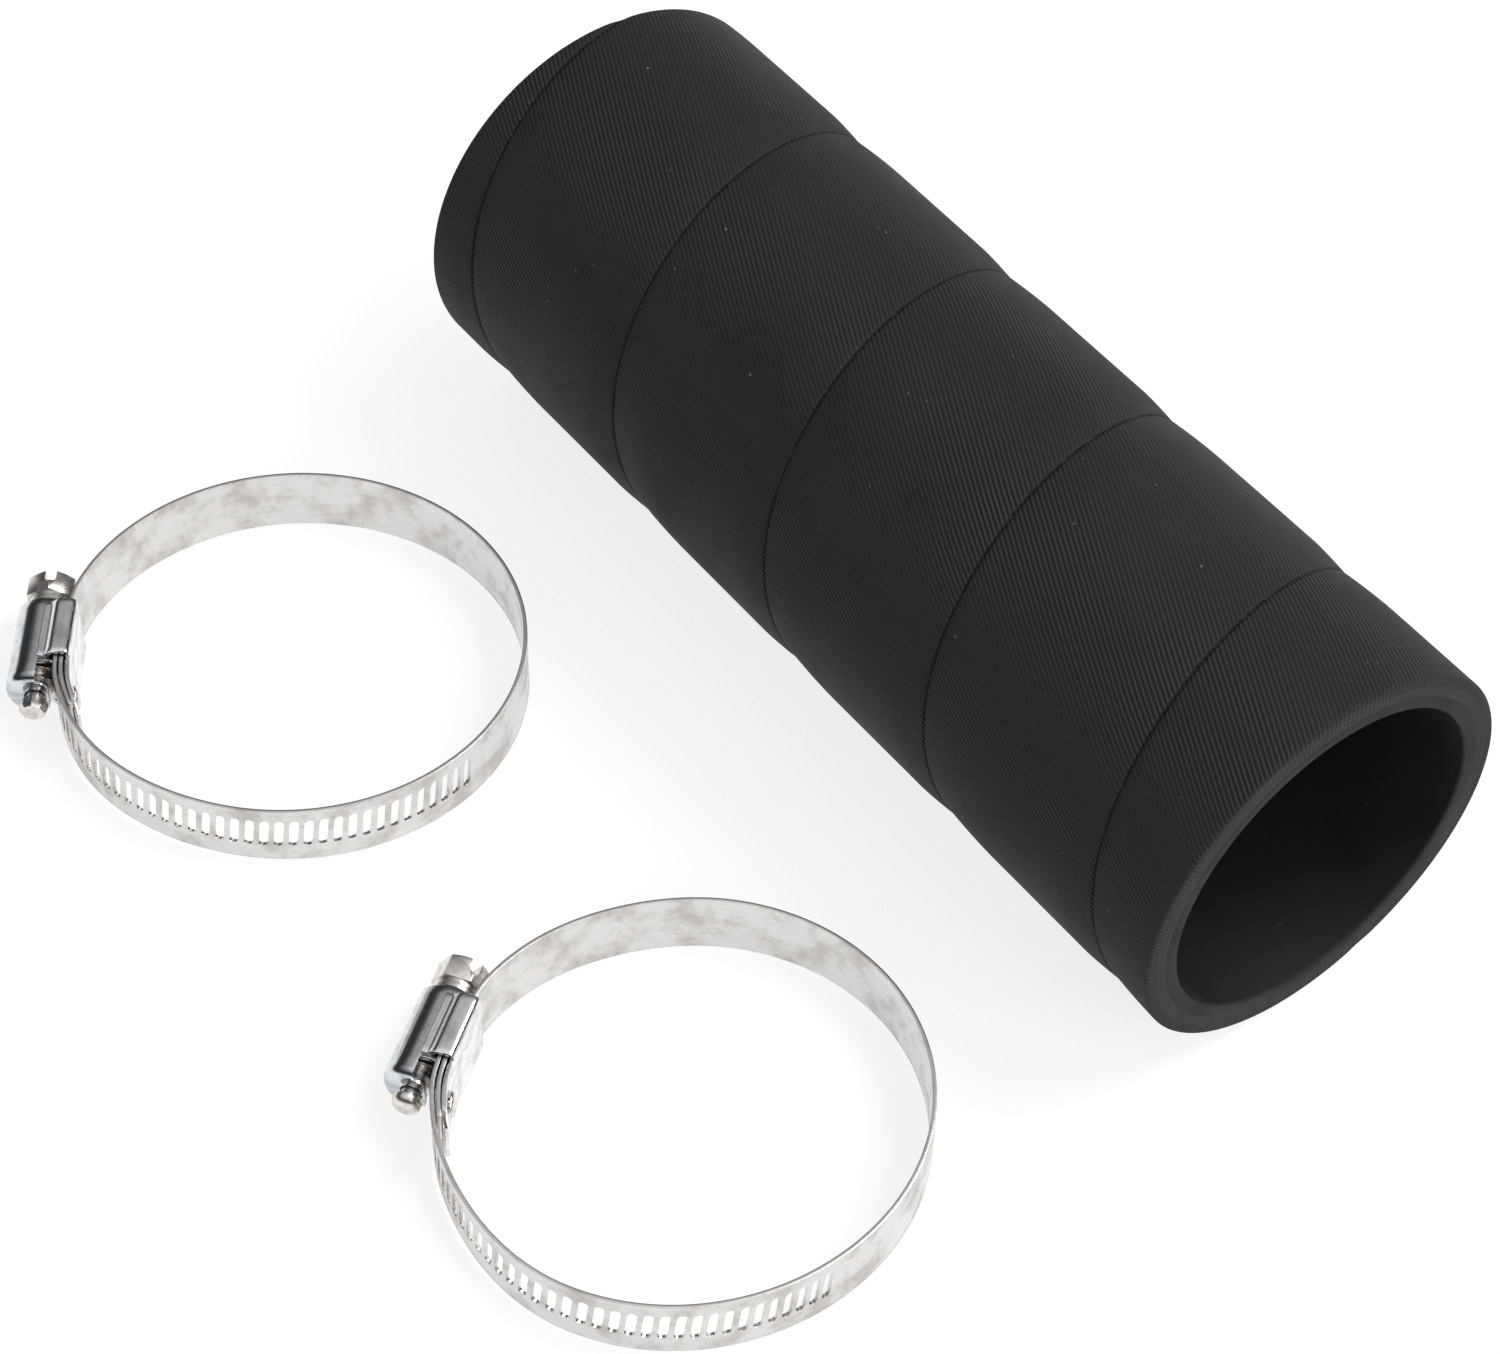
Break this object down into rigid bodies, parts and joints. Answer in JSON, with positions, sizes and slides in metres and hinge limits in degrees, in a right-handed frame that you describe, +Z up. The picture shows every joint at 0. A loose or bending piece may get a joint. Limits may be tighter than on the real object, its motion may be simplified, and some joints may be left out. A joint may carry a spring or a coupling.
{
  "type": "hose coupling",
  "caption": "Straight wrapped rubber hose sleeve that joins two pipe ends, laid flat with its pair of loose worm-drive band clamps.",
  "frame": {"origin": "on the surface the set lies on, under the middle of the whole set", "axes": "+X along the hose, +Y from the clamps towards the hose, +Z up"},
  "size_m": [0.196, 0.1744, 0.073],
  "materials": {
    "cover_rubber": "matte black cured rubber with the print of a wound fabric tape",
    "tube_rubber": "smooth black rubber",
    "ply_fabric": "rubbered woven reinforcement",
    "band_steel": "bright rolled stainless strip",
    "housing_steel": "polished pressed stainless sheet",
    "saddle_steel": "pressed stainless sheet",
    "screw_steel": "turned and rolled steel, plated"
  },
  "bodies": {
    "hose": {"hose_inner_tube": "tube_rubber", "hose_inner_ply": "ply_fabric", "hose_outer_ply": "ply_fabric", "hose_cover": "cover_rubber"},
    "left_clamp": {"left_clamp_band": "band_steel", "left_clamp_housing": "housing_steel", "left_clamp_saddle": "saddle_steel", "left_clamp_rivet": "screw_steel"},
    "left_screw": {"left_clamp_screw": "screw_steel"},
    "right_clamp": {"right_clamp_band": "band_steel", "right_clamp_housing": "housing_steel", "right_clamp_saddle": "saddle_steel", "right_clamp_rivet": "screw_steel"},
    "right_screw": {"right_clamp_screw": "screw_steel"}
  },
  "joints": [
    {"name": "left_clamp_lift", "type": "slide", "parent": "hose", "child": "left_clamp", "axis": [0, 0, 1], "range_m": [0, 0.12]},
    {"name": "left_screw_turn", "type": "hinge", "parent": "left_clamp", "child": "left_screw", "pos_m": [-0.08321, -0.07736, 0.00751], "axis": [-0.7793, 0.6266, 0], "continuous": true, "deforming": ["left_clamp_band"]},
    {"name": "right_clamp_lift", "type": "slide", "parent": "hose", "child": "right_clamp", "axis": [0, 0, 1], "range_m": [0, 0.12]},
    {"name": "right_screw_turn", "type": "hinge", "parent": "right_clamp", "child": "right_screw", "pos_m": [0.02476, -0.07045, 0.00751], "axis": [-0.5664, 0.8241, 0], "continuous": true, "deforming": ["right_clamp_band"]}
  ]
}
